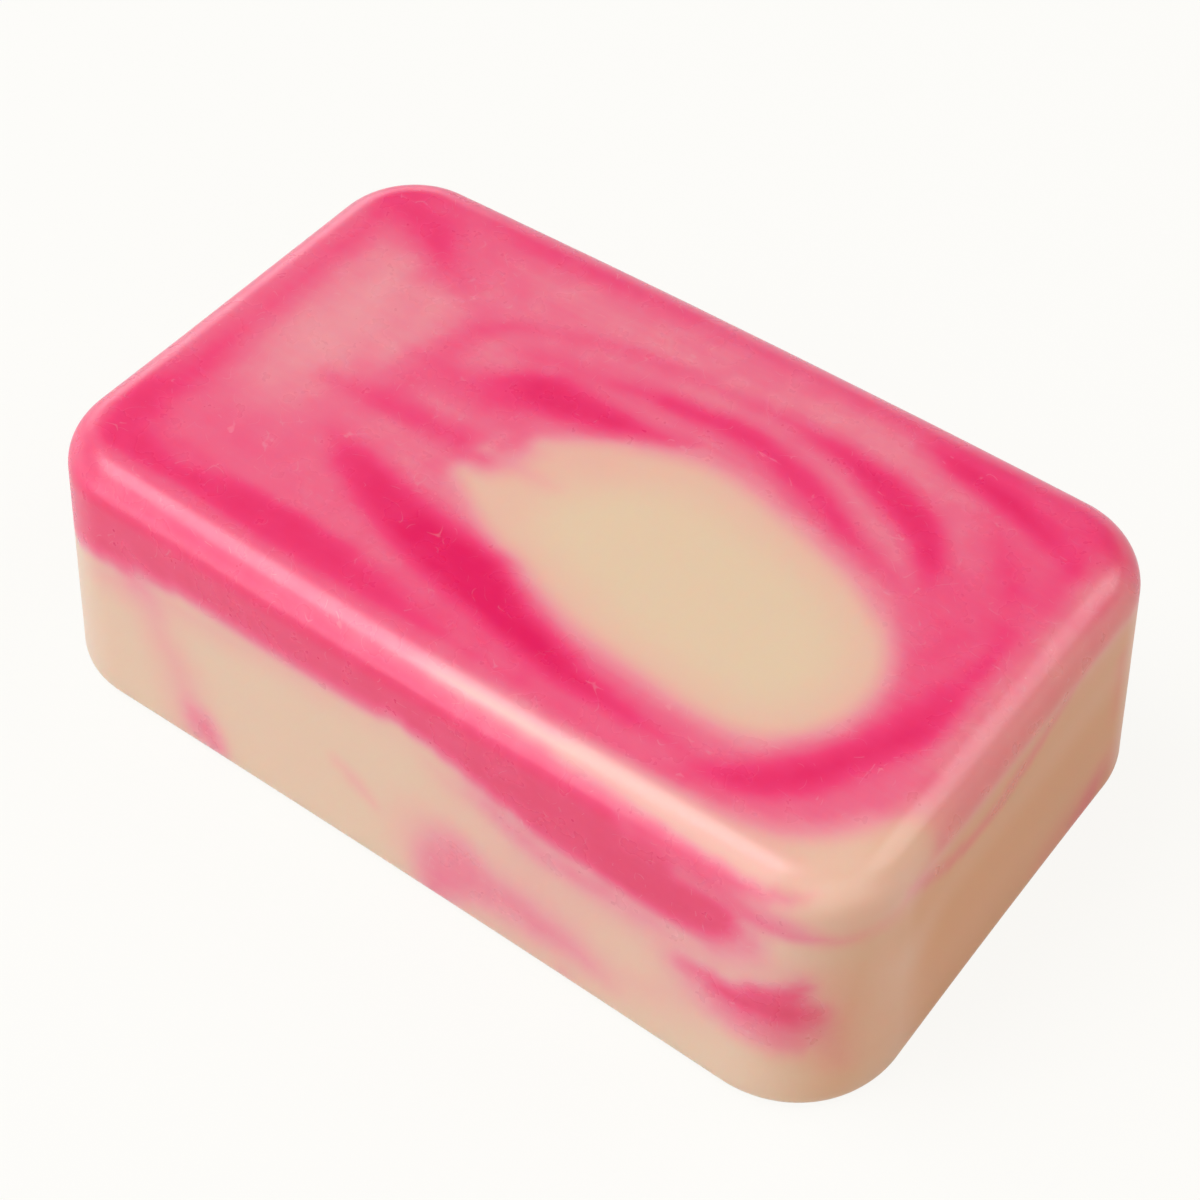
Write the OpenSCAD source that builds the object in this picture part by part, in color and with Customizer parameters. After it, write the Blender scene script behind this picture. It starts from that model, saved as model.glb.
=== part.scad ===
// A hand-made bar of marbled soap, cast in one piece in a cavity mould.
//
// It stands on the face that was open at the top of the mould when it was poured. So the bar is
// widest at the foot, its sides lean in by the mould's draft all the way round, its upright
// corners are round and taper with the draft, and its upper edge is rolled over in one unbroken
// round, which the flat top face meets without a crease.
// The origin is at the middle of the foot, +X along the length, +Z up.

/* [Bar] */
// Length of the bar at the foot
bar_length = 88; // [60:1:120]
// Width of the bar at the foot
bar_width = 55.4; // [40:0.2:80]
// Height of the bar
bar_height = 26; // [18:1:36]

/* [Mould] */
// Lean of the sides, from the draft of the mould, in degrees
draft_angle = 4.8; // [1:0.1:6]
// Radius of the upright corners at the foot, seen from above
corner_radius = 10.2; // [8.5:0.1:16]
// Radius of the rolled edge round the top face
top_edge_radius = 3.8; // [2:0.1:5]
// Radius of the trimmed edge round the foot
foot_edge_radius = 1; // [0.4:0.1:2]

/* [Colour] */
// Colour of the soap as a whole, between its cream and its deep pink
soap_colour = "#ed7a99"; // ["#ed7a99", "#e6c9a9", "#e63469"]

/* [Hidden] */

// Sides to a full turn of a round surface
$fn = 128;

// The corners' upright axes stand this far from the middle of the bar
corner_x = bar_length / 2 - corner_radius;
corner_y = bar_width / 2 - corner_radius;

// Centre of a rolled edge in the wall's section, at "z" up the wall, which leans in from the foot
function roll_centre(radius, z) =
    [corner_radius - z * tan(draft_angle) - radius / cos(draft_angle), z];
// Where that roll runs out on the leaning wall
function roll_end(radius, z) =
    roll_centre(radius, z) + radius * [cos(draft_angle), sin(draft_angle)];

// Outer half of a rolled edge
module roll(radius, z) {
    translate(roll_centre(radius, z)) intersection() {
        circle(r = radius);
        translate([0, -radius]) square([radius, 2 * radius]);
    }
}

// Section of the wall, from a corner's axis at x = 0 out to the foot's outline
module wall_section() {
    foot_z = foot_edge_radius;
    top_z = bar_height - top_edge_radius;
    polygon([
        [0, 0],
        [roll_centre(foot_edge_radius, foot_z).x, 0],
        roll_end(foot_edge_radius, foot_z),
        roll_end(top_edge_radius, top_z),
        [roll_centre(top_edge_radius, top_z).x, bar_height],
        [0, bar_height]
    ]);
    roll(foot_edge_radius, foot_z);
    roll(top_edge_radius, top_z);
}

// The wall carried straight on for the length of a run, facing +X
module straight_wall(run) {
    rotate([90, 0, 0]) linear_extrude(run, center = true) wall_section();
}

// The same wall turned a quarter round a corner's axis
module corner_wall() {
    rotate_extrude(angle = 90) wall_section();
}

module walls() {
    for (turn = [0, 180]) rotate(turn) {
        translate([corner_x, 0, 0]) straight_wall(2 * corner_y);
        rotate(90) translate([corner_y, 0, 0]) straight_wall(2 * corner_x);
        translate([corner_x, corner_y, 0]) corner_wall();
        translate([-corner_x, corner_y, 0]) rotate(90) corner_wall();
    }
}

// The block that the walls stand round, between the four corner axes
module core() {
    translate([-corner_x, -corner_y, 0]) cube([2 * corner_x, 2 * corner_y, bar_height]);
}

module soap_bar() {
    color(soap_colour) union() {
        core();
        walls();
    }
}

soap_bar();
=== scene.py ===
# %% [markdown]
# A hand-made bar of marbled soap, cast in one piece.
#
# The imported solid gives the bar's place, its size and its weight. This lesson makes what the eye
# sees of it: the slightly uneven skin of a bar that shrank in its mould, the deep pink that was
# stirred through the cream, and the satin, waxy finish with its fine scratches.
#
# The frame comes first. Everything after it is in metres and in the frame's own axes, with the
# bar's foot on z = 0.

from math import cos, pi, radians, sin, sqrt

import bpy
import numpy as np
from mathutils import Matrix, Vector


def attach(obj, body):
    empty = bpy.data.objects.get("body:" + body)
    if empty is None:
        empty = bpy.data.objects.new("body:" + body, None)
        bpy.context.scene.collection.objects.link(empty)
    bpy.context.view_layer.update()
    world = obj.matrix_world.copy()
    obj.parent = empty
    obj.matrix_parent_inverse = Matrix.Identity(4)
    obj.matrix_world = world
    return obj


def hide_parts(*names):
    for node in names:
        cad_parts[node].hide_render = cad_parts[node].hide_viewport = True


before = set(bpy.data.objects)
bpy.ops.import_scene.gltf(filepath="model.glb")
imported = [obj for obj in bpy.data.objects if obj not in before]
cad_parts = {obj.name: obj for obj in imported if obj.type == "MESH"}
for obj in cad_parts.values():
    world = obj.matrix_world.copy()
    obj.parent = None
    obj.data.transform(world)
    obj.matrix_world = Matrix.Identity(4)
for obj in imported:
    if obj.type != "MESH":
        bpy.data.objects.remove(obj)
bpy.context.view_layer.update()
MM = 0.001

# %% [markdown]
# Node trees are written here as plain arithmetic. A Term is one socket of a tree. When two Terms
# meet in a Python expression, the operator adds the Math node that does the same sum, so that
# a rule reads as it would on paper. Every other node comes from one method, add.

# %% Arithmetic on sockets
class Term:
    """One output socket of a node tree, used as a number in a Python expression."""

    def __init__(self, tree, socket):
        self.tree = tree
        self.socket = socket

    def math(self, operation, *values):
        return self.tree.add("ShaderNodeMath", {"operation": operation}, dict(enumerate(values)))

    def __add__(self, other):
        return self.math("ADD", self, other)

    def __radd__(self, other):
        return self.math("ADD", other, self)

    def __sub__(self, other):
        return self.math("SUBTRACT", self, other)

    def __rsub__(self, other):
        return self.math("SUBTRACT", other, self)

    def __mul__(self, other):
        return self.math("MULTIPLY", self, other)

    def __truediv__(self, other):
        return self.math("DIVIDE", self, other)

    def __rtruediv__(self, other):
        return self.math("DIVIDE", other, self)

    def __abs__(self):
        return self.math("ABSOLUTE", self)

    def __pow__(self, power):
        return self.math("POWER", self, power)

    def sine(self):
        return self.math("SINE", self)

    def cosine(self):
        return self.math("COSINE", self)

    def tangent(self):
        return self.math("TANGENT", self)

    def root(self):
        return self.math("SQRT", self)

    def sign(self):
        return self.math("SIGN", self)

    def at_most(self, limit):
        return self.math("MINIMUM", self, limit)

    def at_least(self, limit):
        return self.math("MAXIMUM", self, limit)

    def held(self):
        return self.at_least(0.0).at_most(1.0)

    def rise(self, start, end):
        """Goes smoothly from 0 at the start to 1 at the end."""
        t = ((self - start) / (end - start)).held()
        return t * t * (3.0 - t * 2.0)


class Tree:
    """A node tree that is filled by its one method, add."""

    def __init__(self, nodes_and_links):
        self.nodes = nodes_and_links.nodes
        self.links = nodes_and_links.links

    def add(self, kind, settings=None, sockets=None, out=0):
        """Adds a node: its settings first, then the values or links of its sockets."""
        node = self.nodes.new(kind)
        for name, value in (settings or {}).items():
            if name == "stops":
                self.set_stops(node.color_ramp, value)
            else:
                setattr(node, name, value)
        for key, value in (sockets or {}).items():
            if isinstance(value, Term):
                self.links.new(value.socket, node.inputs[key])
            else:
                node.inputs[key].default_value = value
        return Term(self, node.outputs[out]) if node.outputs else None

    def set_stops(self, ramp, stops):
        while len(ramp.elements) < len(stops):
            ramp.elements.new(0.5)
        for element, (place, colour) in zip(ramp.elements, stops):
            element.position = place
            element.color = colour


# %% [markdown]
# The form of the bar follows a rule, so Geometry Nodes make it. The mould's plan is a rounded
# rectangle that grows smaller upwards by the draft, and its upper edge is a roll. A cast bar
# shrinks as it cures, so its long sides end up a little hollow at the foot and a little full at
# the top, and the solid's straight walls are only a fair copy of that.

# %% Sizes of the bar, in millimetres
LENGTH = 88.0
WIDTH = 55.3
HEIGHT = 26.0
END_LEAN = radians(3.9)
SIDE_LEAN = radians(6.8)
CORNER_FOOT = 10.5
CORNER_TOP = 8.1
ROLL = 3.8
TRIM = 1.0
SIDE_BOW_FOOT = -0.32
SIDE_BOW_TOP = 0.75
END_BOW_FOOT = -0.24
END_BOW_TOP = -0.1
UNEVENNESS = 0.06
SWELLS_PER_METRE = 70.0
print("bar in mm:", LENGTH, "x", WIDTH, "x", HEIGHT, "with corners of", CORNER_FOOT, "and a roll of", ROLL)

# %% [markdown]
# A cube of fine cells is pushed onto that form. Its sides become the wall with both of its rolled
# edges, and its top and bottom become the flat faces. The cells are about half a millimetre wide,
# which is fine enough to carry the colour, and smaller on both rolled edges, where the form turns
# most.

# %% Cells of the cube that becomes the bar
CELLS_LONG = 190
CELLS_WIDE = 118
CELLS_TRIM = 5
CELLS_WALL = 47
CELLS_ROLL = 16
CELLS_UP = CELLS_TRIM + CELLS_WALL + CELLS_ROLL
TRIM_SHARE = CELLS_TRIM / CELLS_UP
ROLL_SHARE = CELLS_ROLL / CELLS_UP
STRAIGHT_LONG = 0.82
STRAIGHT_WIDE = 0.7
RIGHT_ANGLE = pi / 2
print("cube:", CELLS_LONG, "x", CELLS_WIDE, "x", CELLS_UP, "cells")

# %% [markdown]
# The wall is climbed in three parts: round the trimmed foot, along the straight wall and over the
# roll. Both rounds turn through exactly the angle that the leaning wall leaves them, so that no
# crease shows where they meet it. A cell's way up the cube, w, says how far it has climbed.

# %% Up the wall
def climb_wall(size, w):
    """Height of a cell, its share of the bar's height, and its turns round the trim and the roll."""
    lean = (size["End lean"] + size["Side lean"]) * 0.5
    climb = (w + 1.0) * 0.5
    trim_turn = (lean + RIGHT_ANGLE) * (climb / TRIM_SHARE).at_most(1.0) - RIGHT_ANGLE
    straight = ((climb - TRIM_SHARE) / (1.0 - TRIM_SHARE - ROLL_SHARE)).held()
    past_wall = ((climb - 1.0 + ROLL_SHARE) / ROLL_SHARE).at_least(0.0)
    roll_turn = lean + (RIGHT_ANGLE - lean) * past_wall
    trim_z = size["Trim"] * (trim_turn.sine() + 1.0)
    trim_end = size["Trim"] * (lean.sine() + 1.0)
    roll_start = size["Height"] - size["Roll"] * (1.0 - lean.sine())
    over_roll = size["Roll"] * (roll_turn.sine() - lean.sine())
    z = trim_z + (roll_start - trim_end) * straight + over_roll
    return z, z / size["Height"], (trim_turn, roll_turn)


# %% [markdown]
# At each height the plan is a rounded rectangle. The square of cells in each corner of the cube is
# bent into a quarter disc, which keeps the cells even from the middle of a face to its edge. Last
# the four sides are bowed in or out by a few tenths of a millimetre, and not at all at the corners.

# %% Across the plan
def spread_plan(size, u, v, z, share, turns):
    """Where a cell comes to lie in the bar's plan."""
    trim_turn, roll_turn = turns

    def inset(own_lean):
        """How far both rolled edges draw the plan in from the leaning wall, at this height."""
        slope = own_lean.tangent()
        full = 1.0 / own_lean.cosine()
        at_foot = full - trim_turn.cosine() - trim_turn.sine() * slope
        at_top = full - roll_turn.cosine() - roll_turn.sine() * slope
        return size["Trim"] * at_foot + size["Roll"] * at_top

    def line(foot, top):
        """A size that goes evenly from its value at the foot to its value at the top."""
        return foot + (top - foot) * share

    def bend(part, straight):
        """How far a cell is along the straight of a side, and how far into the corner."""
        along = (abs(part) / straight).at_most(1.0)
        into = ((abs(part) - straight) / (1.0 - straight)).at_least(0.0)
        return along, into

    end_inset = inset(size["End lean"])
    side_inset = inset(size["Side lean"])
    half_x = size["Length"] * 0.5 - z * size["End lean"].tangent()
    half_y = size["Width"] * 0.5 - z * size["Side lean"].tangent()
    corner = line(size["Corner at foot"], size["Corner at top"]) - (end_inset + side_inset) * 0.5
    flat_x = half_x - end_inset - corner
    flat_y = half_y - side_inset - corner
    along_u, into_u = bend(u, STRAIGHT_LONG)
    along_v, into_v = bend(v, STRAIGHT_WIDE)
    across_x = flat_x * along_u + corner * into_u * (1.0 - into_v * into_v * 0.5).root()
    across_y = flat_y * along_v + corner * into_v * (1.0 - into_u * into_u * 0.5).root()
    near_x = across_x / half_x
    near_y = across_y / half_y
    end_bow = line(size["End bow at foot"], size["End bow at top"])
    side_bow = line(size["Side bow at foot"], size["Side bow at top"])
    x = u.sign() * (across_x + near_x ** 3.0 * end_bow * (1.0 - near_y * near_y))
    y = v.sign() * (across_y + near_y ** 3.0 * side_bow * (1.0 - near_x * near_x))
    return x, y


# %% [markdown]
# The node tree joins these rules to the cube. Its sizes are sockets, so that a bar of another
# mould needs other numbers and no other nodes. A cell's place on the cube is kept as an attribute,
# because the colour is laid on by it later.

# %% The form as a node tree
def form_tree():
    """Geometry Nodes that push a cube of cells onto the bar's form, sizes in metres."""
    group = bpy.data.node_groups.new("soap_form", "GeometryNodeTree")
    sizes = {
        "Length": LENGTH * MM,
        "Width": WIDTH * MM,
        "Height": HEIGHT * MM,
        "End lean": END_LEAN,
        "Side lean": SIDE_LEAN,
        "Corner at foot": CORNER_FOOT * MM,
        "Corner at top": CORNER_TOP * MM,
        "Roll": ROLL * MM,
        "Trim": TRIM * MM,
        "Side bow at foot": SIDE_BOW_FOOT * MM,
        "Side bow at top": SIDE_BOW_TOP * MM,
        "End bow at foot": END_BOW_FOOT * MM,
        "End bow at top": END_BOW_TOP * MM,
        "Unevenness": UNEVENNESS * MM,
    }
    values = {}
    for name, size in sizes.items():
        socket = group.interface.new_socket(name, in_out="INPUT", socket_type="NodeSocketFloat")
        values[socket.identifier] = size
    socket = group.interface.new_socket("Soap", in_out="INPUT", socket_type="NodeSocketMaterial")
    material_key = socket.identifier
    group.interface.new_socket("Bar", in_out="OUTPUT", socket_type="NodeSocketGeometry")

    tree = Tree(group)
    given = group.nodes.new("NodeGroupInput")
    size = {name: Term(tree, given.outputs[name]) for name in sizes}

    cube = tree.add("GeometryNodeMeshCube", {}, {
        "Size": (2.0, 2.0, 2.0),
        "Vertices X": CELLS_LONG + 1,
        "Vertices Y": CELLS_WIDE + 1,
        "Vertices Z": CELLS_UP + 1,
    })
    kept = tree.add("GeometryNodeStoreNamedAttribute", {
        "data_type": "FLOAT_VECTOR",
        "domain": "POINT",
    }, {"Geometry": cube, "Name": "cell", "Value": tree.add("GeometryNodeInputPosition")})
    cell = tree.add("GeometryNodeInputNamedAttribute", {"data_type": "FLOAT_VECTOR"}, {"Name": "cell"})
    u, v, w = (tree.add("ShaderNodeSeparateXYZ", {}, {0: cell}, out=axis) for axis in range(3))

    z, share, turns = climb_wall(size, w)
    x, y = spread_plan(size, u, v, z, share, turns)
    place = tree.add("ShaderNodeCombineXYZ", {}, {"X": x, "Y": y, "Z": z})
    formed = tree.add("GeometryNodeSetPosition", {}, {"Geometry": kept, "Position": place})

    # A gentle unevenness, only ever inwards, which fades out over the lowest eighth of the bar
    swell = tree.add("ShaderNodeTexNoise", {"noise_dimensions": "3D"}, {
        "Vector": tree.add("GeometryNodeInputPosition"),
        "Scale": SWELLS_PER_METRE,
        "Detail": 1.0,
    })
    depth = size["Unevenness"] * swell * (share * 8.0).at_most(1.0) * -1.0
    normal = tree.add("GeometryNodeInputNormal")
    dent = tree.add("ShaderNodeVectorMath", {"operation": "SCALE"}, {0: normal, "Scale": depth})
    uneven = tree.add("GeometryNodeSetPosition", {}, {"Geometry": formed, "Offset": dent})
    smooth = tree.add("GeometryNodeSetShadeSmooth", {}, {"Geometry": uneven})
    real = tree.add("GeometryNodeRealizeInstances", {}, {"Geometry": smooth})
    painted = tree.add("GeometryNodeSetMaterial", {}, {
        "Geometry": real,
        "Material": Term(tree, given.outputs["Soap"]),
    })
    tree.add("NodeGroupOutput", {}, {"Bar": painted})
    return group, values, material_key


# %% [markdown]
# The tree runs once, on an empty carrier, and what it makes becomes a plain mesh. The colour is
# laid on the mesh by Python, and the finished piece then needs no modifier.

# %% Make the bar's mesh
def make_bar(material):
    """The bar as a plain mesh, with its cells' places kept as an attribute."""
    group, values, material_key = form_tree()
    carrier = bpy.data.objects.new("soap_carrier", bpy.data.meshes.new("soap_carrier"))
    bpy.context.scene.collection.objects.link(carrier)
    modifier = carrier.modifiers.new("Form", "NODES")
    modifier.node_group = group
    for identifier, value in values.items():
        modifier[identifier] = value
    modifier[material_key] = material
    depsgraph = bpy.context.evaluated_depsgraph_get()
    mesh = bpy.data.meshes.new_from_object(carrier.evaluated_get(depsgraph), depsgraph=depsgraph)
    bpy.data.objects.remove(carrier)
    mesh.name = "soap_bar_skin"
    bar = bpy.data.objects.new("soap_bar_skin", mesh)
    bpy.context.scene.collection.objects.link(bar)
    return bar


soap = bpy.data.materials.new("soap")
soap.use_nodes = True
bar = make_bar(soap)
place = np.array([p.co for p in bar.data.vertices]) / MM
print("bar:", len(bar.data.vertices), "corners of cells, from", place.min(0), "to", place.max(0))

# %% [markdown]
# The marbling was stirred by hand, so no formula gives it. It is laid on here the way a painter
# would: stroke by stroke, each over the last. A stroke follows a few given points on one face of
# the bar, has a half-width at each of them and a soft edge, and draws the pigment towards its own
# tone, from 0 for the cream to 1 for the deepest pink. Distances are measured through space, so a
# stroke that is laid near an edge runs over it onto the next face.
#
# Places on the top and the foot are x and y. Places on the wall are the length round the outline,
# from the middle of the front side towards the right end, and the length up the wall. The length
# round is negative on the left half of the front and on the left end. Along the whole back it
# counts on from the right end, to 134 in the middle and to about 175 at the left.

# %% Places on the skin
QUARTER = LENGTH / 2 - CORNER_FOOT + CORNER_FOOT * pi / 2 + WIDTH / 2 - CORNER_FOOT
print("a quarter of the way round the foot:", round(QUARTER, 1), "mm")


def unroll(place, cell):
    """For each corner of a cell: whether it is on the wall, its way round and its way up."""
    u, v, w = cell.T

    def along(part, straight, half):
        """Length from the middle of a side to this part of it, round half of a corner."""
        level = np.minimum(abs(part) / straight, 1) * (half - CORNER_FOOT)
        bent = np.maximum((abs(part) - straight) / (1 - straight), 0)
        return np.sign(part) * (level + CORNER_FOOT * np.arcsin(bent / sqrt(2)))

    over_x = along(u, STRAIGHT_LONG, LENGTH / 2)
    over_y = along(v, STRAIGHT_WIDE, WIDTH / 2)
    edge = 1 - 1e-4
    sides = [v < -edge, u > edge, u < -edge, v > edge]
    ways = [over_x, QUARTER + over_y, -QUARTER - over_y, 2 * QUARTER - over_x]
    way_round = np.select(sides, ways, 0.0)
    lean = (END_LEAN + SIDE_LEAN) / 2
    roll_start = (HEIGHT - ROLL + ROLL * sin(lean)) / cos(lean)
    over_roll = np.clip(((w + 1) / 2 - 1 + ROLL_SHARE) / ROLL_SHARE, 0, 1) * (RIGHT_ANGLE - lean)
    way_up = np.where(over_roll > 0, roll_start + ROLL * over_roll, place[:, 2] / cos(lean))
    return np.logical_or.reduce(sides), way_round, way_up


# %% [markdown]
# A stroke's few points are first joined by a smooth curve that passes through each of them. Its
# half-width and its strength are carried along in the same way, so a stroke can swell, thin out
# and fade.

# %% A smooth row through a few points
def smooth_row(points, steps=6):
    """A smooth row of places, half-widths and strengths through the given points."""
    rows = np.array([tuple(p) + (1.0,) * (4 - len(p)) for p in points], float)
    if len(rows) == 1:
        return np.vstack([rows, rows])
    ends = np.vstack([2 * rows[0] - rows[1], rows, 2 * rows[-1] - rows[-2]])
    made = []
    for a, b, c, d in zip(ends, ends[1:], ends[2:], ends[3:]):
        for t in np.arange(steps) / steps:
            made.append(0.5 * (2 * b + (c - a) * t + (2 * a - 5 * b + 4 * c - d) * t * t
                               + (3 * b - a - 3 * c + d) * t ** 3))
    return np.vstack(made + [rows[-1]])


# %% [markdown]
# The painter knows where each corner of a cell lies in space and on the wall. For every stroke it
# finds how far each corner is from the curve, beyond the half-width there, and draws the corners
# within the soft edge towards the stroke's tone. The places are shifted a little by a smooth noise
# first, because the edge of stirred soap is never quite the curve that a hand draws.

# %% The painter
class Painter:
    """Lays strokes of pigment on the corners of the bar's cells."""

    def __init__(self, place, cell, wander):
        self.brushed = place + wander
        wall, way_round, way_up = unroll(place, cell)
        self.wall_place = place[wall]
        self.wall_way = np.c_[way_round, way_up][wall]

    def on_skin(self, face, row):
        """The row's places in space."""
        if face == "wall":
            gaps = ((row[:, None, :2] - self.wall_way[None]) ** 2).sum(2)
            return self.wall_place[gaps.argmin(1)]
        level = HEIGHT if face == "top" else 0.0
        return np.c_[row[:, :2], np.full(len(row), level)]

    def lay(self, amount, face, tone, soft, points, strength):
        """Draws the amount at the cells near the stroke's curve towards the stroke's tone."""
        row = smooth_row(points)
        line = self.on_skin(face, row)
        reach = row[:, 2].max() + soft + 1.0
        close = np.all((self.brushed > line.min(0) - reach) & (self.brushed < line.max(0) + reach), 1)
        spots = self.brushed[close]
        nearest = np.full(len(spots), 1e9)
        force = np.zeros(len(spots))
        for a, b, (wide_a, force_a), (wide_b, force_b) in zip(line, line[1:], row[:, 2:], row[1:, 2:]):
            run = b - a
            t = np.clip((spots - a) @ run / max(run @ run, 1e-9), 0, 1)
            gap = np.linalg.norm(spots - a - t[:, None] * run, axis=1) - wide_a - (wide_b - wide_a) * t
            better = gap < nearest
            nearest = np.where(better, gap, nearest)
            force = np.where(better, force_a + (force_b - force_a) * t, force)
        cover = np.clip((soft - nearest) / (2 * soft), 0, 1)
        cover = cover * cover * (3 - 2 * cover) * force * strength
        amount[close] += (tone - amount[close]) * cover


# %% [markdown]
# The same seed always gives the same numbers, so the bar looks the same each time it is made. The
# numbers stand on a lattice, and a place between its points gets a smooth mix of the eight around
# it.

# %% Smooth random numbers
LATTICE = 64


def lattice(places, size, seed):
    """Smooth random numbers from -1 to 1 over space, one for each place; size is their grain in mm."""
    table = np.random.default_rng(seed).uniform(-1, 1, (LATTICE, LATTICE, LATTICE))
    at = places / size
    low = np.floor(at).astype(int)
    t = at - low
    t = t * t * (3 - 2 * t)
    total = np.zeros(len(places))
    for i in (0, 1):
        for j in (0, 1):
            for k in (0, 1):
                share = abs(1 - i - t[:, 0]) * abs(1 - j - t[:, 1]) * abs(1 - k - t[:, 2])
                x, y, z = ((low + (i, j, k)) % LATTICE).T
                total += share * table[x, y, z]
    return total


# %% [markdown]
# The top is the face that lay at the bottom of the mould. Its ground is a middling pink, deep
# along its edges, with two pale patches at the left and a few streaks that were drawn out towards
# the middle. The wall's ground is cream.

# %% Strokes of the ground and of the top's left half
def top_ground(stroke):
    # Ground: middling pink on the top, cream on the wall but for the left half of the back
    stroke("top", 0.48, 4.0, [(-22, 0, 32), (22, 0, 32)])
    stroke("wall", 0.04, 2.0, [(p, 7, 14) for p in range(-134, 136, 6)])

    # Edges of the top: back, right and left, and the deep patch in the back left corner
    stroke("top", 0.74, 2.0, [
        (-40, 22.5, 2.5), (-30, 22.6, 2.8), (-18, 22.4, 1.9, 0.9), (0, 23, 1.0, 0.8), (12, 23, 0.8, 0.8),
    ])
    stroke("top", 0.7, 2.5, [
        (14, 23, 1.2), (22, 22.6, 2.2), (30, 22, 2.6), (36, 20.5, 3.8), (40, 14, 3.4),
    ])
    stroke("top", 0.78, 2.2, [(38, 21, 2), (40, 19, 2), (41, 14, 1)])
    stroke("top", 0.74, 2.4, [(29, 17, 1.0, 0.6), (33, 13, 1.8), (35.5, 8, 1.5), (37, 2, 1)])
    stroke("top", 0.6, 3.0, [(-30, 20, 2.5), (-24, 17.5, 2, 0.6)])
    stroke("top", 0.8, 2.4, [(-37, 19, 1.8), (-32, 17.6, 2.3), (-28.5, 14.8, 1.6), (-25, 13.6, 0.9, 0.5)])
    stroke("top", 0.82, 2.2, [
        (-38, 21, 1.4, 0.8), (-36.8, 8, 1.0, 0.6), (-36.5, -6, 1.4, 0.7), (-36.5, -14, 3.0),
        (-36.5, -16, 3.4),
    ])
    # Paler pink along the left end's rolled edge: partly the pink there and partly a painted sheen from the
    # light at the back left
    stroke("wall", 0.56, 1.6, [
        (-58, 26.5, 0.8, 0.6), (-66, 26.5, 1.2), (-78, 26.5, 1.2), (-86, 26.5, 0.8, 0.6),
    ])

    # Pale patches, and the flatter pink between them
    stroke("top", 0.29, 4.5, [(-31, 11, 2), (-30, 4, 3.8), (-30, -3, 2.8), (-30, -7, 1.0, 0.8)], 0.95)
    stroke("top", 0.3, 2.0, [(-25, 10, 1.2), (-24.3, 6, 1.6), (-24.5, 2, 1.2)], 0.7)
    stroke("top", 0.38, 2.2, [
        (-21, 18, 0.6, 0.6), (-12, 18, 1.2), (-2, 17.8, 1, 0.8), (6, 18.3, 0.8, 0.8), (13, 18.8, 1.4),
        (19, 18.4, 1.3), (22.5, 17.0, 0.3),
    ], 0.8)
    stroke("top", 0.56, 2.6, [(-33, -13.6, 2.0), (-22, -13.8, 2.4), (-12, -16, 1.2)])

    # Streaks left of the pool
    stroke("top", 0.62, 2.0, [(-20, 10, 0.8, 0.8), (-20, 4, 1.2), (-20.5, -2, 1.6)], 0.9)
    stroke("top", 0.68, 1.8, [(-22, 3.2, 0.6, 0.5), (-17, 2.8, 1.5), (-11, 3.4, 1.6)])
    stroke("top", 0.72, 1.5, [(-27, -3.2, 0.5, 0.4), (-20, -2.8, 1.2), (-14, -2.5, 1.3), (-9.5, -2.2, 0.8)])
    stroke("top", 0.48, 1.2, [(-24, -5.4, 0.6, 0.6), (-17, -5.4, 0.8), (-12, -5.6, 0.4, 0.6)])


# %% [markdown]
# Behind the pool of cream the pink was pulled round in bands, deep and pale by turns, which thin
# out at both ends. They are laid from the outer ones to the inner ones, and the deep ring and the
# crescent that hold the pool at the right and in front come after them.

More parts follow.
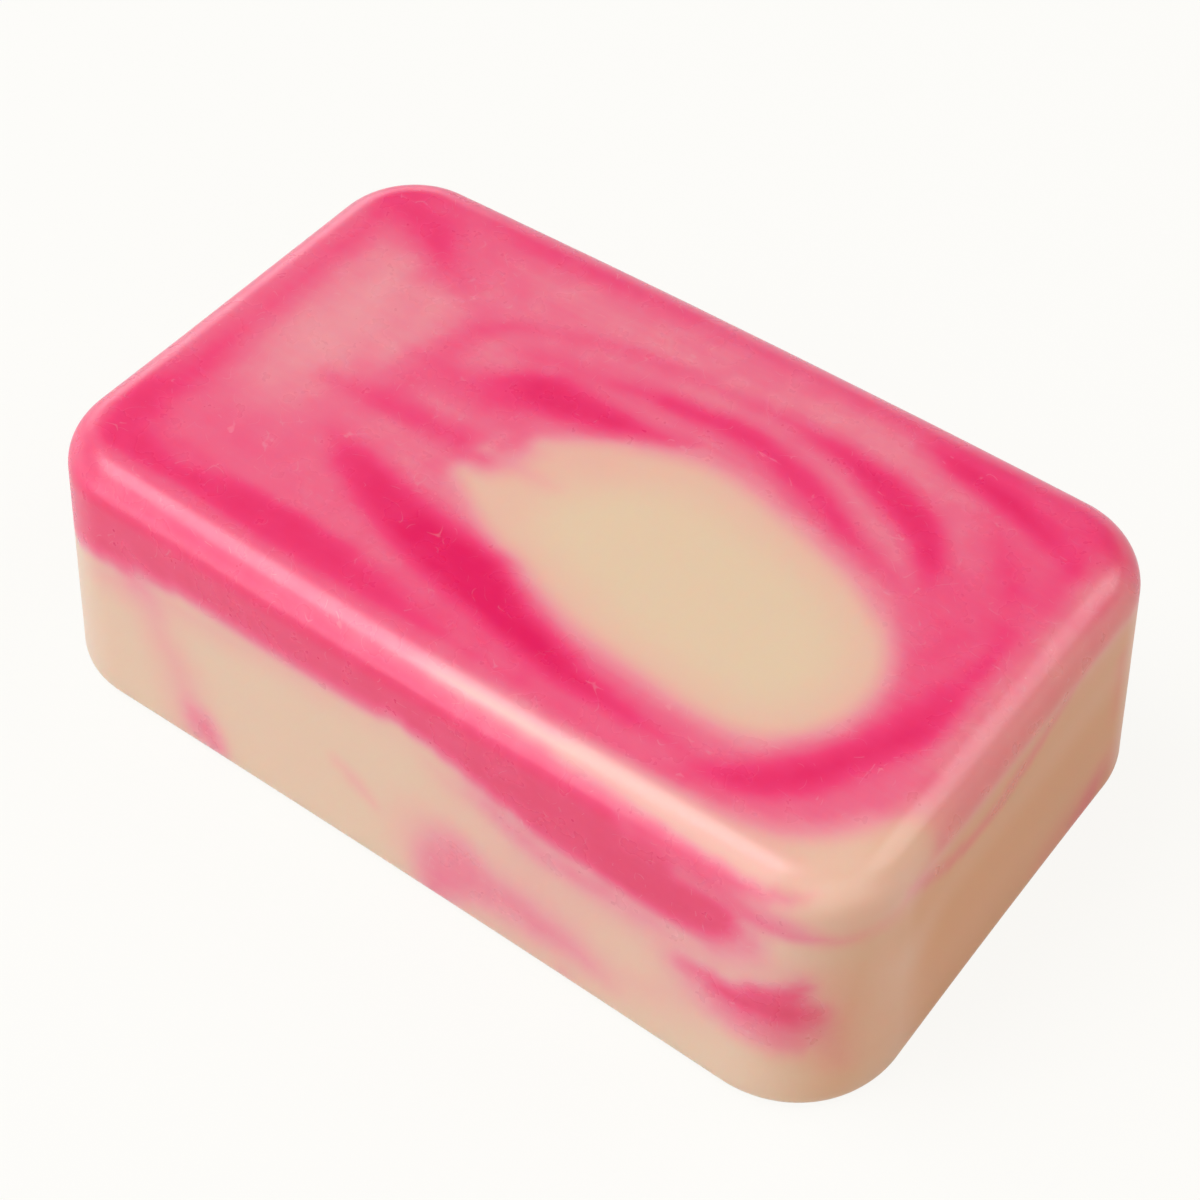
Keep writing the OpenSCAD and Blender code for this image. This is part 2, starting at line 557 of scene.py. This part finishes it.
# %% Strokes of the bands round the pool
def top_bands(stroke):
    # Thin arc round the left of the bands
    stroke("top", 0.64, 1.2, [
        (-20.4, 5, 0.4, 0.4), (-20, 8, 0.8), (-17.5, 11.5, 0.7), (-12, 13.8, 0.6, 0.7), (-4, 15.6, 0.5, 0.7),
        (6, 16.2, 0.3, 0.5),
    ])

    # Second band, the arc over the pool
    stroke("top", 0.62, 1.6, [(-16, 8.6, 0.5, 0.5), (-12, 10.0, 1.0), (-7, 10.6, 0.9), (-3, 11.6, 0.4, 0.5)])
    stroke("top", 0.8, 1.5, [
        (-6, 11.2, 0.3, 0.3), (-1, 12.1, 0.9), (5, 12.5, 1.2), (11, 11.8, 1.3), (16, 10.2, 1.3),
        (20, 8.4, 0.9), (25, 6.6, 0.5, 0.6), (29, 5.2, 0.4, 0.4),
    ])
    stroke("top", 0.42, 1.4, [
        (-2, 14.2, 0.2, 0.6), (6, 14.6, 0.4), (14, 13.6, 0.4), (20, 11.4, 0.9), (25, 8.8, 0.8, 0.8),
    ], 0.8)
    # Third band
    stroke("top", 0.88, 1.5, [
        (6, 16.2, 0.2, 0.3), (12, 15.9, 0.8, 0.7), (17, 15.3, 1.2), (21, 14.2, 1.7), (24.8, 12.4, 1.7),
        (28, 9.5, 1.3), (30.5, 6, 0.8, 0.4),
    ])
    # Fourth band
    stroke("top", 0.88, 1.3, [
        (20, 20.8, 0.4, 0.4), (24, 20.2, 1.0), (28.5, 19.3, 1.2), (32, 18.3, 1.1), (36, 16.5, 0.9, 0.6),
        (38.5, 15, 0.8, 0.4),
    ])

    # Deep ring round the right of the pool
    stroke("top", 0.66, 2.6, [
        (31, 8, 2.5), (34, 0, 3.0), (34.4, -7, 2.4), (31, -14.6, 2.4), (26, -18.1, 1.2),
    ])
    stroke("top", 0.7, 2.0, [(37.5, 13, 1.2), (38.8, 6, 1.0), (38.6, 0, 0.8)], 0.8)
    stroke("top", 0.88, 1.6, [
        (36.6, 6, 0.6, 0.3), (36.4, 0, 0.9, 0.7), (36, -5, 1.4), (34.4, -9.5, 1.3), (31.4, -14.6, 1.4),
        (27.6, -17.8, 1.2), (24, -19.0, 0.8, 0.5),
    ])
    # The deep crescent in front of the pool
    stroke("top", 0.98, 1.7, [
        (-22, -8, 0.4, 0.4), (-18, -9.8, 1.7, 0.7), (-13, -11.7, 2.3, 0.85), (-7, -13.2, 2.6),
        (-1, -14.4, 2.9), (4, -16.2, 2.2), (9, -17.3, 1.7), (15, -17.9, 1.1, 0.8), (22, -18.2, 0.8, 0.5),
    ])
    stroke("top", 0.5, 1.6, [(12, -15.6, 0.6), (17, -16.0, 0.9), (24, -16.0, 1.0), (27, -14.6, 0.8)], 0.7)


# %% [markdown]
# The pool of cream is what the eye finds first. It is a long oval with two lobes at its left end,
# between which a deep wedge points in. A wide pale rim goes down before its body, so that the
# cream fades into the pink as it does where two soaps mix.

# %% Strokes of the top's front edge and of the pool
def top_pool(stroke):
    # Front edge of the top
    stroke("top", 0.68, 1.5, [
        (-34, -17.4, 1.0), (-24, -17.8, 0.8), (-12, -18.2, 0.8), (0, -18.8, 1.0), (8, -19.4, 0.8, 0.7),
    ])
    stroke("top", 0.85, 1.2, [
        (-37, -19.2, 2.0), (-30, -19.9, 1.2), (-24, -19.6, 1.7), (-17, -19.4, 2.0), (-9, -19.9, 1.4),
        (-3, -20.4, 0.9, 0.8), (4, -20.7, 0.6, 0.5), (14, -20.6, 0.5, 0.5), (24, -20.4, 0.5, 0.4),
    ])
    # Paler pink along the front's rolled edge, under the key light's highlight: partly the pink there and
    # partly a painted highlight, which makes the highlight look whiter
    stroke("wall", 0.62, 1.2, [
        (-48, 26.6, 1.6), (-38, 26.6, 1.6), (-20, 26.6, 1.5), (-4, 27, 1.0), (4, 27.5, 0.4, 0.4),
    ])

    # The pool of cream: its rim, its body, its blunt lobe and its upper lobe
    stroke("top", 0.11, 2.1, [
        (-1.4, -3.0, 5.8), (3, -2.2, 8.6), (8, -2.7, 10.5), (14, -3.9, 10.6), (19, -4.9, 10.0),
        (22.6, -5.8, 9.0),
    ])
    stroke("top", 0.1, 1.8, [(-9.4, -5.4, 0.9), (-6, -6.0, 2.2), (-2, -6.2, 3.7)])
    stroke("top", 0.13, 1.8, [(-6.0, 1.4, 0.9), (-1, 2, 2.2)])
    stroke("top", 0.0, 3.4, [
        (3, -4.0, 4.6), (8, -3.2, 7.0), (14, -4.2, 7.6), (19, -5.0, 7.0), (22, -5.8, 6.2),
    ])
    stroke("top", 0.3, 1.5, [(-10, -2.0, 0.8), (-6.5, -2.1, 0.7, 0.8), (-2.5, -2.2, 0.4, 0.4)])
    # Deep wedge on the pool's upper left
    stroke("top", 0.9, 1.5, [
        (-15, 4.8, 0.8, 0.5), (-11, 6.2, 2.0), (-7.5, 6.8, 2.1), (-3.5, 7.3, 1.4), (0, 7.9, 0.7, 0.8),
        (4, 8.9, 0.2, 0.3),
    ])
    # Cream at the front right corner
    stroke("top", 0.08, 2.0, [
        (16, -23.8, 0.8), (24, -23.8, 1.6), (31, -23.6, 2.4), (37.5, -21.6, 3.8), (42, -14, 2.6),
        (43.5, -4, 1),
    ])


# %% [markdown]
# A deep band runs along the front below the rolled edge, as if the pink had sagged over it. It is
# widest at the left and again before the right corner, where it ends in streaks. Under it a soft
# pink has spread into the cream, with one deep blob near the corner and a few marks at the foot.

# %% Strokes of the front
def front_marbling(stroke):
    # Cream on the right part of the rolled edge and on the corner
    stroke("wall", 0.18, 1.3, [
        (-2, 26.3, 0.2, 0.5), (4, 26.5, 0.6), (12, 26.6, 0.9), (22, 26.8, 1.0), (32, 26.8, 1.3),
        (38, 25.8, 1.6),
    ])
    stroke("wall", 0.08, 1.6, [(36, 26, 1.0, 0.6), (40, 25, 2.2), (44, 24, 3.2), (51, 24.6, 2.4)])

    # Soft pink that spread below the deep band, and a haze lower down
    stroke("wall", 0.2, 2.6, [
        (-34, 15, 1.4), (-26, 16.5, 1.2), (-10, 17.8, 1.0, 0.8), (0, 18.2, 0.8, 0.5), (6, 16, 1.5),
        (14, 13.6, 2.2), (24, 13.4, 2.6), (32, 14, 4.4), (38, 13.5, 4.6, 0.8), (42, 10, 3.5, 0.4),
    ])
    stroke("wall", 0.24, 3.6, [(-24, 3, 2.5), (-25, 8, 2.2), (-27.5, 13, 1.8), (-31, 17, 1)], 0.9)
    stroke("wall", 0.36, 1.8, [(-33, 18.6, 0.6), (-30, 17.2, 0.9), (-27, 15, 0.6, 0.5)])
    stroke("wall", 0.24, 4.0, [(5, 6, 5.5), (16, 6, 4), (24, 6, 2, 0.7), (30, 9, 2)], 0.9)
    # The deep band below the edge
    stroke("wall", 0.88, 1.6, [
        (-52, 20.5, 4.3), (-44, 20.2, 4.3), (-36, 20.8, 3.8), (-30, 21.6, 3.5), (-22, 22.2, 3.1),
        (-12, 22.1, 3.1), (-5, 22.3, 2.9), (0, 22.5, 2.6), (5, 21.9, 2.8), (10, 21.1, 3.4), (16, 20.3, 4.1),
        (22, 20.1, 4.1), (27, 20, 3.7), (30, 19.5, 2.4), (32, 19.2, 1.0, 0.7),
    ])
    stroke("wall", 0.92, 1.6, [
        (8, 21, 0.8), (15, 19.4, 1.8), (22, 18.8, 1.9), (28, 18.6, 1.6), (31, 18.8, 0.8, 0.6),
    ])
    # Its streaks at the right
    stroke("wall", 0.4, 1.6, [
        (6, 17.4, 0.4, 0.4), (10, 15.8, 0.8), (14, 14.6, 1.0), (20, 14.2, 1.0), (28, 14.4, 0.6, 0.5),
    ])
    stroke("wall", 0.42, 2.0, [(30, 15.6, 0.6, 0.7), (33.5, 18, 0.8), (34, 20.6, 0.6, 0.7)])
    stroke("wall", 0.64, 1.0, [
        (22, 24.2, 0.9), (27, 23.8, 1.0), (32, 24.2, 0.6, 0.8), (36, 24.8, 0.3, 0.5), (39, 25.5, 0.2, 0.2),
    ])
    stroke("wall", 0.56, 0.9, [(27, 21.8, 1.0), (33, 21.8, 0.5), (39, 21.3, 0.1, 0.6), (44, 20.6, 0.0, 0.3)])
    # The blob near the right corner
    stroke("wall", 0.46, 2.4, [
        (28, 11.5, 0.6, 0.6), (33, 9.8, 1.6), (37, 9.2, 2.2), (40.5, 10.5, 2.4), (42.5, 8.5, 1.6, 0.6),
        (43.8, 5.5, 0.8, 0.5),
    ])
    stroke("wall", 1.0, 1.5, [(28.5, 12, 0.3, 0.4), (33, 11.8, 0.8), (37, 12.0, 1.4), (40, 12.1, 1.0, 0.8)])
    stroke("wall", 0.8, 1.6, [(35.5, 12.8, 1.0), (38.3, 14.3, 0.8), (39, 16, 0.2, 0.4)])
    # Marks low on the front
    stroke("wall", 0.5, 2.8, [(3.5, 1.2, 0.8), (4.8, 4, 2.2), (6.2, 6.6, 2.4), (5.6, 9.5, 0.6, 0.6)])
    stroke("wall", 0.42, 2.2, [
        (6, 6, 1.5), (10, 5.6, 1.6), (15, 5.4, 1.1), (19, 5, 0.6, 0.8), (22.5, 3.8, 0.3, 0.4),
    ])
    stroke("wall", 0.3, 1.6, [(17.5, 1.6, 0.6)], 0.7)
    stroke("wall", 0.5, 2.2, [(-24, 5.0, 0.3, 0.5), (-23, 3.2, 1.3), (-21.8, 1.4, 1.0)])
    stroke("wall", 0.22, 1.4, [(-7, 10.2, 0.3), (-5, 9, 0.8), (-3, 7.6, 0.4)], 0.9)


# %% [markdown]
# The right end is nearly all cream. The pink only reaches it along the rolled edge, in a thin
# streak under the edge and in a spot at the foot.

# %% Strokes of the right end
def right_marbling(stroke):
    stroke("wall", 0.13, 2.2, [
        (50, 21, 1.8), (60, 21, 1.8), (72, 21, 1.8), (84, 21.2, 1.8), (92, 20.5, 1.0),
    ])
    stroke("wall", 0.07, 4.0, [(52, 11, 9), (86, 11, 9)], 0.9)
    # Salmon under the edge, a thin streak, and a spot at the foot
    stroke("wall", 0.26, 2.0, [
        (55, 25.6, 0.4, 0.6), (60, 25.4, 1.2), (70, 25.2, 1.4), (80, 25, 1.4), (88, 24.4, 2.0),
    ], 0.9)
    stroke("wall", 0.42, 1.4, [
        (56, 28.2, 0.3, 0.6), (61, 28, 0.7), (70, 27.8, 0.9), (82, 27.4, 1.2), (88, 26.5, 2),
    ])
    stroke("wall", 0.74, 1.4, [(87, 27.6, 0.6, 0.6), (91, 27, 1.6), (98, 26.5, 2)])
    stroke("wall", 0.44, 1.2, [
        (49.5, 22.6, 0.1, 0.6), (52, 21.3, 0.5), (56, 19.6, 0.6), (61, 18.9, 0.7), (66, 19.5, 0.8),
        (71, 20.8, 0.6, 0.9), (76, 22.5, 0.4, 0.7), (82, 24, 0.2, 0.4),
    ])
    stroke("wall", 0.24, 3.0, [(74, 2, 2.0), (84, 3.5, 2.5)])
    stroke("wall", 0.62, 2.0, [(82.4, 4.8, 0.3, 0.4), (81.4, 2.6, 1.1), (79.8, 1, 1.3)])
    stroke("wall", 0.28, 1.8, [(84.5, 11, 0.6, 0.8), (84.5, 18, 0.8)])


# %% [markdown]
# The photo hides the left end, the back and the foot, so their marbling is a guess. The deep band
# is one layer of the pour, which must come round the whole bar, so it runs on along the left end
# and the back. Below it are the same kinds of marks as on the front.
#
# One flaw is left in. The strokes for the left half of the back have negative lengths round, while
# the length counts on past 134 there. So they all land on the corner at the left, as one upright
# mark. The wall's cream ground misses this half in the same way, and the top's pink ground hangs
# down there as a broad patch.

# %% Strokes of the left end and the back
def hidden_marbling(stroke):
    # Left end: the front's deep band runs on round it and thins out
    stroke("wall", 0.68, 1.8, [
        (-50, 20.5, 4.3), (-60, 20.5, 4.0), (-70, 21.5, 3.0), (-80, 21.2, 3.2), (-90, 21.8, 2.8),
    ])
    stroke("wall", 0.24, 3.0, [(-48, 14, 1.5), (-58, 13, 2.5), (-68, 15.5, 1.6), (-80, 15, 1.2, 0.5)])
    stroke("wall", 0.5, 2.2, [(-57, 8.5, 0.6, 0.5), (-63, 7.4, 1.8), (-69, 8.6, 1.5), (-75, 11, 0.8, 0.5)])
    stroke("wall", 0.36, 2.0, [(-74, 2.2, 1.2), (-80, 3.6, 1.2, 0.8), (-86, 6.5, 0.7, 0.5)])

    # Back: the same band, and a long lazy swirl below it, whole on the right half only
    stroke("wall", 0.7, 1.8, [
        (-86, 21.8, 2.8), (-96, 22.6, 2.4), (-106, 21.6, 3.2), (-116, 20.6, 3.8), (-126, 21.4, 3.2),
        (-134, 22.2, 2.6),
    ])
    stroke("wall", 0.7, 1.8, [
        (134, 22.2, 2.6), (126, 22.6, 2.4), (116, 21.6, 3.2), (106, 21.4, 3.4), (98, 22.4, 3.0),
        (91, 24, 2.4),
    ])
    stroke("wall", 0.22, 3.2, [(-92, 12, 1.5), (-104, 9, 3), (-118, 10, 3.5), (-130, 13, 2)])
    stroke("wall", 0.22, 3.2, [(130, 13, 2), (120, 9.5, 3), (108, 8, 3.5), (97, 10.5, 2)])
    stroke("wall", 0.56, 2.0, [
        (-96, 13.5, 0.5, 0.4), (-103, 10.5, 1.3), (-111, 8.6, 1.7), (-120, 9.6, 1.4), (-128, 12.2, 1.1),
        (-134, 13.2, 0.9),
    ])
    stroke("wall", 0.56, 2.0, [
        (134, 13.2, 0.9), (127, 12, 1.3), (119, 9, 1.8), (111, 7, 1.5), (104, 7.4, 0.6, 0.5),
    ])
    stroke("wall", 0.42, 2.0, [(112, 2.4, 1.4), (118, 3, 1.2, 0.8), (125, 2.2, 0.6, 0.5)])
    stroke("wall", 0.34, 2.0, [(-100, 2, 1.0), (-108, 3.2, 1.4), (-116, 2, 0.8, 0.6)])


# %% [markdown]
# The foot was the open face of the mould, and the last soap poured lies there in long folds. It is
# hidden when the bar stands, so a few broad strokes are enough.

# %% Strokes of the foot
def foot_marbling(stroke):
    stroke("foot", 0.3, 5.0, [(-24, 9, 5), (-8, 12, 6), (10, 9, 5), (24, 2, 4)], 0.9)
    stroke("foot", 0.66, 2.6, [
        (-33, 4, 0.6, 0.4), (-24, 10, 2.2), (-10, 13.5, 3), (6, 11, 2.6), (18, 5, 2), (27, -3, 0.8, 0.5),
    ])
    stroke("foot", 0.5, 2.6, [
        (-28, -12, 1.0, 0.5), (-16, -8, 2.2), (-2, -9.5, 2.6), (10, -14, 1.6), (20, -16.5, 0.6, 0.4),
    ])
    stroke("foot", 0.84, 1.8, [(-18, 12.4, 0.5, 0.5), (-9, 14.2, 1.2), (2, 12.4, 1), (10, 9.4, 0.4, 0.4)])


# %% [markdown]
# The right end faces away from the key light, and here its shade is painted into the colour:
# darker and warmer, most of all low down. That painted shade is a second amount at each corner of
# a cell, laid on with the same strokes.

# %% Strokes of the painted shade
def right_painted_shade(stroke):
    # Painted shade on the right end: lightest on the rolled edge, darkest low down
    stroke("wall", 0.25, 2.5, [(50, 26, 1), (60, 25.5, 2), (92, 25.5, 2)])
    stroke("wall", 0.5, 5.0, [(44, 3, 4), (43.5, 10, 4), (45, 20, 3)])
    stroke("wall", 0.8, 3.0, [(52, 18.5, 3.5), (60, 20, 3.5), (92, 20, 3.5)])
    stroke("wall", 1.0, 7.0, [(58, 2, 8), (82, 2, 8)])
    stroke("wall", 1.0, 7.0, [(58, 11, 8), (88, 11, 8)])


# %% [markdown]
# The strokes are laid in the order in which they cover each other: the ground, the bands, the
# pool, and then the wall's sides and the foot.

# %% Order of the strokes
MARBLING = [
    top_ground, top_bands, top_pool, front_marbling, right_marbling, hidden_marbling, foot_marbling,
]


def paint(painter, amount, parts):
    """Lays the strokes of these parts on the amounts, and counts them."""
    laid = []

    def stroke(face, tone, soft, points, strength=1.0):
        painter.lay(amount, face, tone, soft, points, strength)
        laid.append(face)

    for part in parts:
        part(stroke)
    return len(laid)


# %% [markdown]
# Poured soap has no clean curves, so before the strokes are laid, every place wanders by up to
# 0.3 mm in swells of about 7 mm. Each finished amount is kept on the mesh as an attribute, which
# the material reads.

# %% Put the colour on the bar
CREAM = 0.04
WANDER = 0.3
WANDER_GRAIN = 7.0
WANDER_START = 90.0
cell = np.empty(len(place) * 3, np.float32)
bar.data.attributes["cell"].data.foreach_get("vector", cell)
cell = cell.reshape(-1, 3).astype(float)
bar.data.attributes.remove(bar.data.attributes["cell"])
shifted = place + WANDER_START
wander = np.stack([lattice(shifted, WANDER_GRAIN, seed) for seed in (1, 2, 3)], 1) * WANDER
painter = Painter(place, cell, wander)
# The second amount is painted shade on the right end, not a colour of the soap itself
amounts = {"pigment": (CREAM, MARBLING), "browning": (0.0, [right_painted_shade])}
for name, (ground, parts) in amounts.items():
    amount = np.full(len(place), ground)
    count = paint(painter, amount, parts)
    kept = bar.data.attributes.new(name, "FLOAT", "POINT")
    kept.data.foreach_set("value", amount.astype(np.float32))
    print(name, "of", count, "strokes, from", round(amount.min(), 3), "to", round(amount.max(), 3))

# %% [markdown]
# The bar is one piece on the frame's one body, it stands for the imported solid, and its material
# is the record's soap.

# %% Hand the bar to the frame
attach(bar, "root")
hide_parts("soap_bar")

# %% [markdown]
# The amount of pigment picks its colour from a ramp, from the cream through salmon and pink to the
# deepest pink. The pigment was never stirred in quite evenly, so a cloudy noise and long faint
# lines along the bar move the amount up and down a little, though only where there is some. The
# ramp's colours are written as they are seen, and a helper turns them into what the shader needs.

# %% Colour of the pigment
def linear(red, green, blue):
    """A colour as it is seen, from 0 to 255, as the light that the shader works with."""
    shares = [c / 255 for c in (red, green, blue)]
    return tuple(s / 12.92 if s < 0.04045 else ((s + 0.055) / 1.055) ** 2.4 for s in shares) + (1.0,)


soap.node_tree.nodes.clear()
skin = Tree(soap.node_tree)
where = skin.add("ShaderNodeTexCoord", out="Object")
stored = skin.add("ShaderNodeAttribute", {"attribute_name": "pigment"}, out="Fac")


def noise(stretch, detail, shift=0.0):
    """Noise whose grain has these sizes in mm along three axes."""
    laid = skin.add("ShaderNodeMapping", {}, {
        "Vector": where,
        "Location": (shift, shift, shift),
        "Scale": tuple(1 / size / MM for size in stretch),
    })
    return skin.add("ShaderNodeTexNoise", {}, {"Vector": laid, "Scale": 1.0, "Detail": detail})


cloud = noise((3.0, 3.0, 3.0), detail=3.0)
lines = noise((12.0, 0.6, 0.6), detail=1.0)
pink = stored.rise(0.1, 0.5)
tone = stored + ((cloud - 0.5) * 0.2 + (lines - 0.5) * 0.06) * pink
stops = [
    (0.0, linear(231, 203, 172)),
    (0.12, linear(236, 187, 167)),
    (0.3, linear(239, 152, 161)),
    (0.5, linear(240, 110, 141)),
    (0.75, linear(242, 66, 121)),
    (1.0, linear(232, 22, 96)),
]
pigmented = skin.add("ShaderNodeValToRGB", {"stops": stops}, {"Fac": tone.held()})
print("pigment ramp:", len(stops), "stops")

# %% [markdown]
# The painted shade keeps most of the red and takes away most of the blue, which is what
# multiplying by a dark tan does. Mix nodes have a pair of sockets for each kind of data, all with
# the same names, so their colours go by number: 6 and 7 in, 2 out.

# %% Painted shade
# Tint of the painted shade on the right end
SHADE_TINT = (0.8, 0.4, 0.03, 1.0)


def mix(factor, first, second, how="MIX"):
    """A mix of two colours."""
    return skin.add("ShaderNodeMix", {"data_type": "RGBA", "blend_type": how}, {
        "Factor": factor,
        6: first,
        7: second,
    }, out=2)


# How much painted shade each place has
painted_shade_amount = skin.add("ShaderNodeAttribute", {"attribute_name": "browning"}, out="Fac")
soap_colour = mix(painted_shade_amount, pigmented, SHADE_TINT, "MULTIPLY")

# %% [markdown]
# Handling leaves hair-fine scratches in every direction, which show pale on the pink. They are
# short and curved, so they are made as the level lines of two noises, kept only in scattered
# patches. The white specks are grains of soda ash. They stand in the cells of a Voronoi pattern,
# in one cell out of five.

# %% Scratches and specks
WORN = (1.0, 0.8, 0.78, 1.0)
scratches = 0.0
for shift, grain in ((3.0, 2.4), (11.0, 3.6)):
    level = abs(noise((grain, grain, grain), shift=shift, detail=0.0) - 0.5)
    patch = noise((0.8, 0.8, 0.8), shift=shift + 50.0, detail=0.0)
    scratches = (1.0 - level.rise(0.002, 0.007)) * patch.rise(0.57, 0.66) + scratches
scratches = scratches.held() * pink

dots = {"Vector": where, "Scale": 0.6 / MM}
far = skin.add("ShaderNodeTexVoronoi", {}, dots, out="Distance")
dot_colour = skin.add("ShaderNodeTexVoronoi", {}, dots, out="Color")
chance = skin.add("ShaderNodeSeparateColor", {}, {"Color": dot_colour})
specks = (1.0 - far.rise(0.03, 0.07)) * (chance - 0.8).at_least(0.0).sign()
worn_colour = mix((scratches * 0.12 + specks * pink * 0.22).held(), soap_colour, WORN)

# %% [markdown]
# Soap is waxy: light goes a little way in and comes out again warmer, so the body scatters light
# under its surface, red the farthest. The skin itself is satin, and the pigmented parts are a
# little less even than the cream. Two shaders, one for each soap, would show a seam between them.
# One Principled shader whose colour changes shows none, as in the real bar.

# %% Body of the soap
relief = skin.add("ShaderNodeBump", {}, {
    "Strength": 0.04,
    "Distance": 0.04 * MM,
    "Height": cloud * pink,
})
body = skin.add("ShaderNodeBsdfPrincipled", {}, {
    "Base Color": worn_colour,
    "Roughness": 0.28 + (cloud - 0.5) * pink * 0.1,
    "IOR": 1.5,
    "Specular IOR Level": 0.65,
    "Subsurface Weight": 0.4,
    "Subsurface Radius": (1.0, 0.2, 0.12),
    "Subsurface Scale": 5.0 * MM,
    "Normal": relief,
})
skin.add("ShaderNodeOutputMaterial", {}, {"Surface": body})
print("soap material:", len(soap.node_tree.nodes), "nodes")

# %% [markdown]
# The stage is a plain pale floor, which fades into a white background. To the camera most of it is
# plain white light, and the rest is matt paper, on which the bar's shadow falls. The bar's own
# reflections see a little more of the paper, or its sides would look washed out.

# %% Floor
REACH = 3.0
WHITE = (1.0, 1.0, 1.0, 1.0)


def ray_kinds(tree):
    """Three Terms that are 1 on rays from the camera, on mirrored rays and on refracted rays."""
    kinds = ("Is Camera Ray", "Is Glossy Ray", "Is Transmission Ray")
    return [tree.add("ShaderNodeLightPath", out=kind) for kind in kinds]


floor_mesh = bpy.data.meshes.new("floor")
floor_mesh.from_pydata(
    [(-REACH, -REACH, 0), (REACH, -REACH, 0), (REACH, REACH, 0), (-REACH, REACH, 0)],
    [],
    [(0, 1, 2, 3)],
)
floor = bpy.data.objects.new("floor", floor_mesh)
bpy.context.scene.collection.objects.link(floor)
paper = bpy.data.materials.new("paper")
paper.use_nodes = True
floor_mesh.materials.append(paper)
paper.node_tree.nodes.clear()
sheet = Tree(paper.node_tree)
seen, mirrored, refracted = ray_kinds(sheet)
matt = sheet.add("ShaderNodeBsdfDiffuse", {}, {"Color": (0.8, 0.79, 0.77, 1.0)})
glow = sheet.add("ShaderNodeEmission", {}, {"Color": (1.0, 0.993, 0.965, 1.0), "Strength": 1.0})
share = seen * 0.9 + (mirrored + refracted) * 0.6
mixed = sheet.add("ShaderNodeMixShader", {}, {0: share, 1: matt, 2: glow})
sheet.add("ShaderNodeOutputMaterial", {}, {"Surface": mixed})
print("floor:", 2 * REACH, "m square")

# %% [markdown]
# The camera stands where the photo was taken from. Its turn, its tilt, its distance and its lens
# come from a fit of the bar's outline to the photo. A long lens from about 20 cm away gives the
# photo's slight narrowing towards the back.

# %% Camera
YAW = radians(36.93)
PITCH = radians(48.56)
DISTANCE = 209.6
AIM = Vector((1.46, -0.8, 13.0))
LENS = 71.7
camera_data = bpy.data.cameras.new("camera")
camera_data.lens = LENS
camera_data.sensor_width = 36.0
camera = bpy.data.objects.new("camera", camera_data)
bpy.context.scene.collection.objects.link(camera)
back = Vector((sin(YAW) * cos(PITCH), -cos(YAW) * cos(PITCH), sin(PITCH)))
camera.location = (AIM + back * DISTANCE) * MM
camera.rotation_euler = (pi / 2 - PITCH, 0.0, YAW)
camera_data.clip_start = 0.01
bpy.context.scene.camera = camera
print("camera:", round(DISTANCE), "mm from the bar's middle, lens", LENS, "mm")

# %% [markdown]
# The light is a plain soft studio light from five softboxes. The key one stands high at the left
# and makes the highlight along the front's rolled edge. The front one lights the long side. The
# right one is weaker and higher, which leaves the right end darker and shows the corner between
# them. The two far ones brighten the top and the edges at the back and at the left.

# %% Lights
def softbox(name, direction, distance, width, height, power):
    """A rectangular area light of this many watts, that far in metres from the bar's foot."""
    data = bpy.data.lights.new(name, "AREA")
    data.shape = "RECTANGLE"
    data.size = width
    data.size_y = height
    data.energy = power
    lamp = bpy.data.objects.new(name, data)
    bpy.context.scene.collection.objects.link(lamp)
    towards = Vector(direction).normalized()
    lamp.location = towards * distance
    lamp.rotation_euler = towards.to_track_quat("Z", "Y").to_euler()
    print(name, "light:", power, "W")


softbox("key", (-0.41, -0.18, 0.89), 0.9, 0.46, 0.58, 4.0)
softbox("front", (-0.42, -0.73, 0.53), 1.0, 0.6, 1.2, 4.3)
softbox("right", (0.65, -0.4, 0.64), 1.0, 1.0, 1.0, 3.8)
softbox("far right", (0.46, 0.53, 0.71), 1.0, 0.6, 0.6, 2.6)
softbox("far left", (-0.8, 0.53, 0.28), 1.2, 1.0, 0.5, 2.0)

# %% [markdown]
# The world adds a very weak light from all sides. To the camera it is plain white, and in the
# bar's reflections it is white near the horizon only, as a sweep of paper would be.

# %% World and background
WORLD_LIGHT = 0.05
world = bpy.data.worlds.new("studio")
bpy.context.scene.world = world
world.use_nodes = True
world.node_tree.nodes.clear()
sky = Tree(world.node_tree)
seen, mirrored, refracted = ray_kinds(sky)
direction = sky.add("ShaderNodeTexCoord", out="Generated")
height = sky.add("ShaderNodeSeparateXYZ", {}, {0: direction}, out="Z")
sweep = 1.0 - height.rise(0.1, 0.5)
share = (seen + (mirrored + refracted) * sweep).at_most(1.0)
light = sky.add("ShaderNodeBackground", {}, {"Color": WHITE, "Strength": WORLD_LIGHT})
backdrop = sky.add("ShaderNodeBackground", {}, {"Color": WHITE, "Strength": 1.0})
both = sky.add("ShaderNodeMixShader", {}, {0: share, 1: light, 2: backdrop})
sky.add("ShaderNodeOutputWorld", {}, {"Surface": both})

bpy.context.scene.view_settings.view_transform = "Standard"
print("world:", len(world.node_tree.nodes), "nodes, light", WORLD_LIGHT)
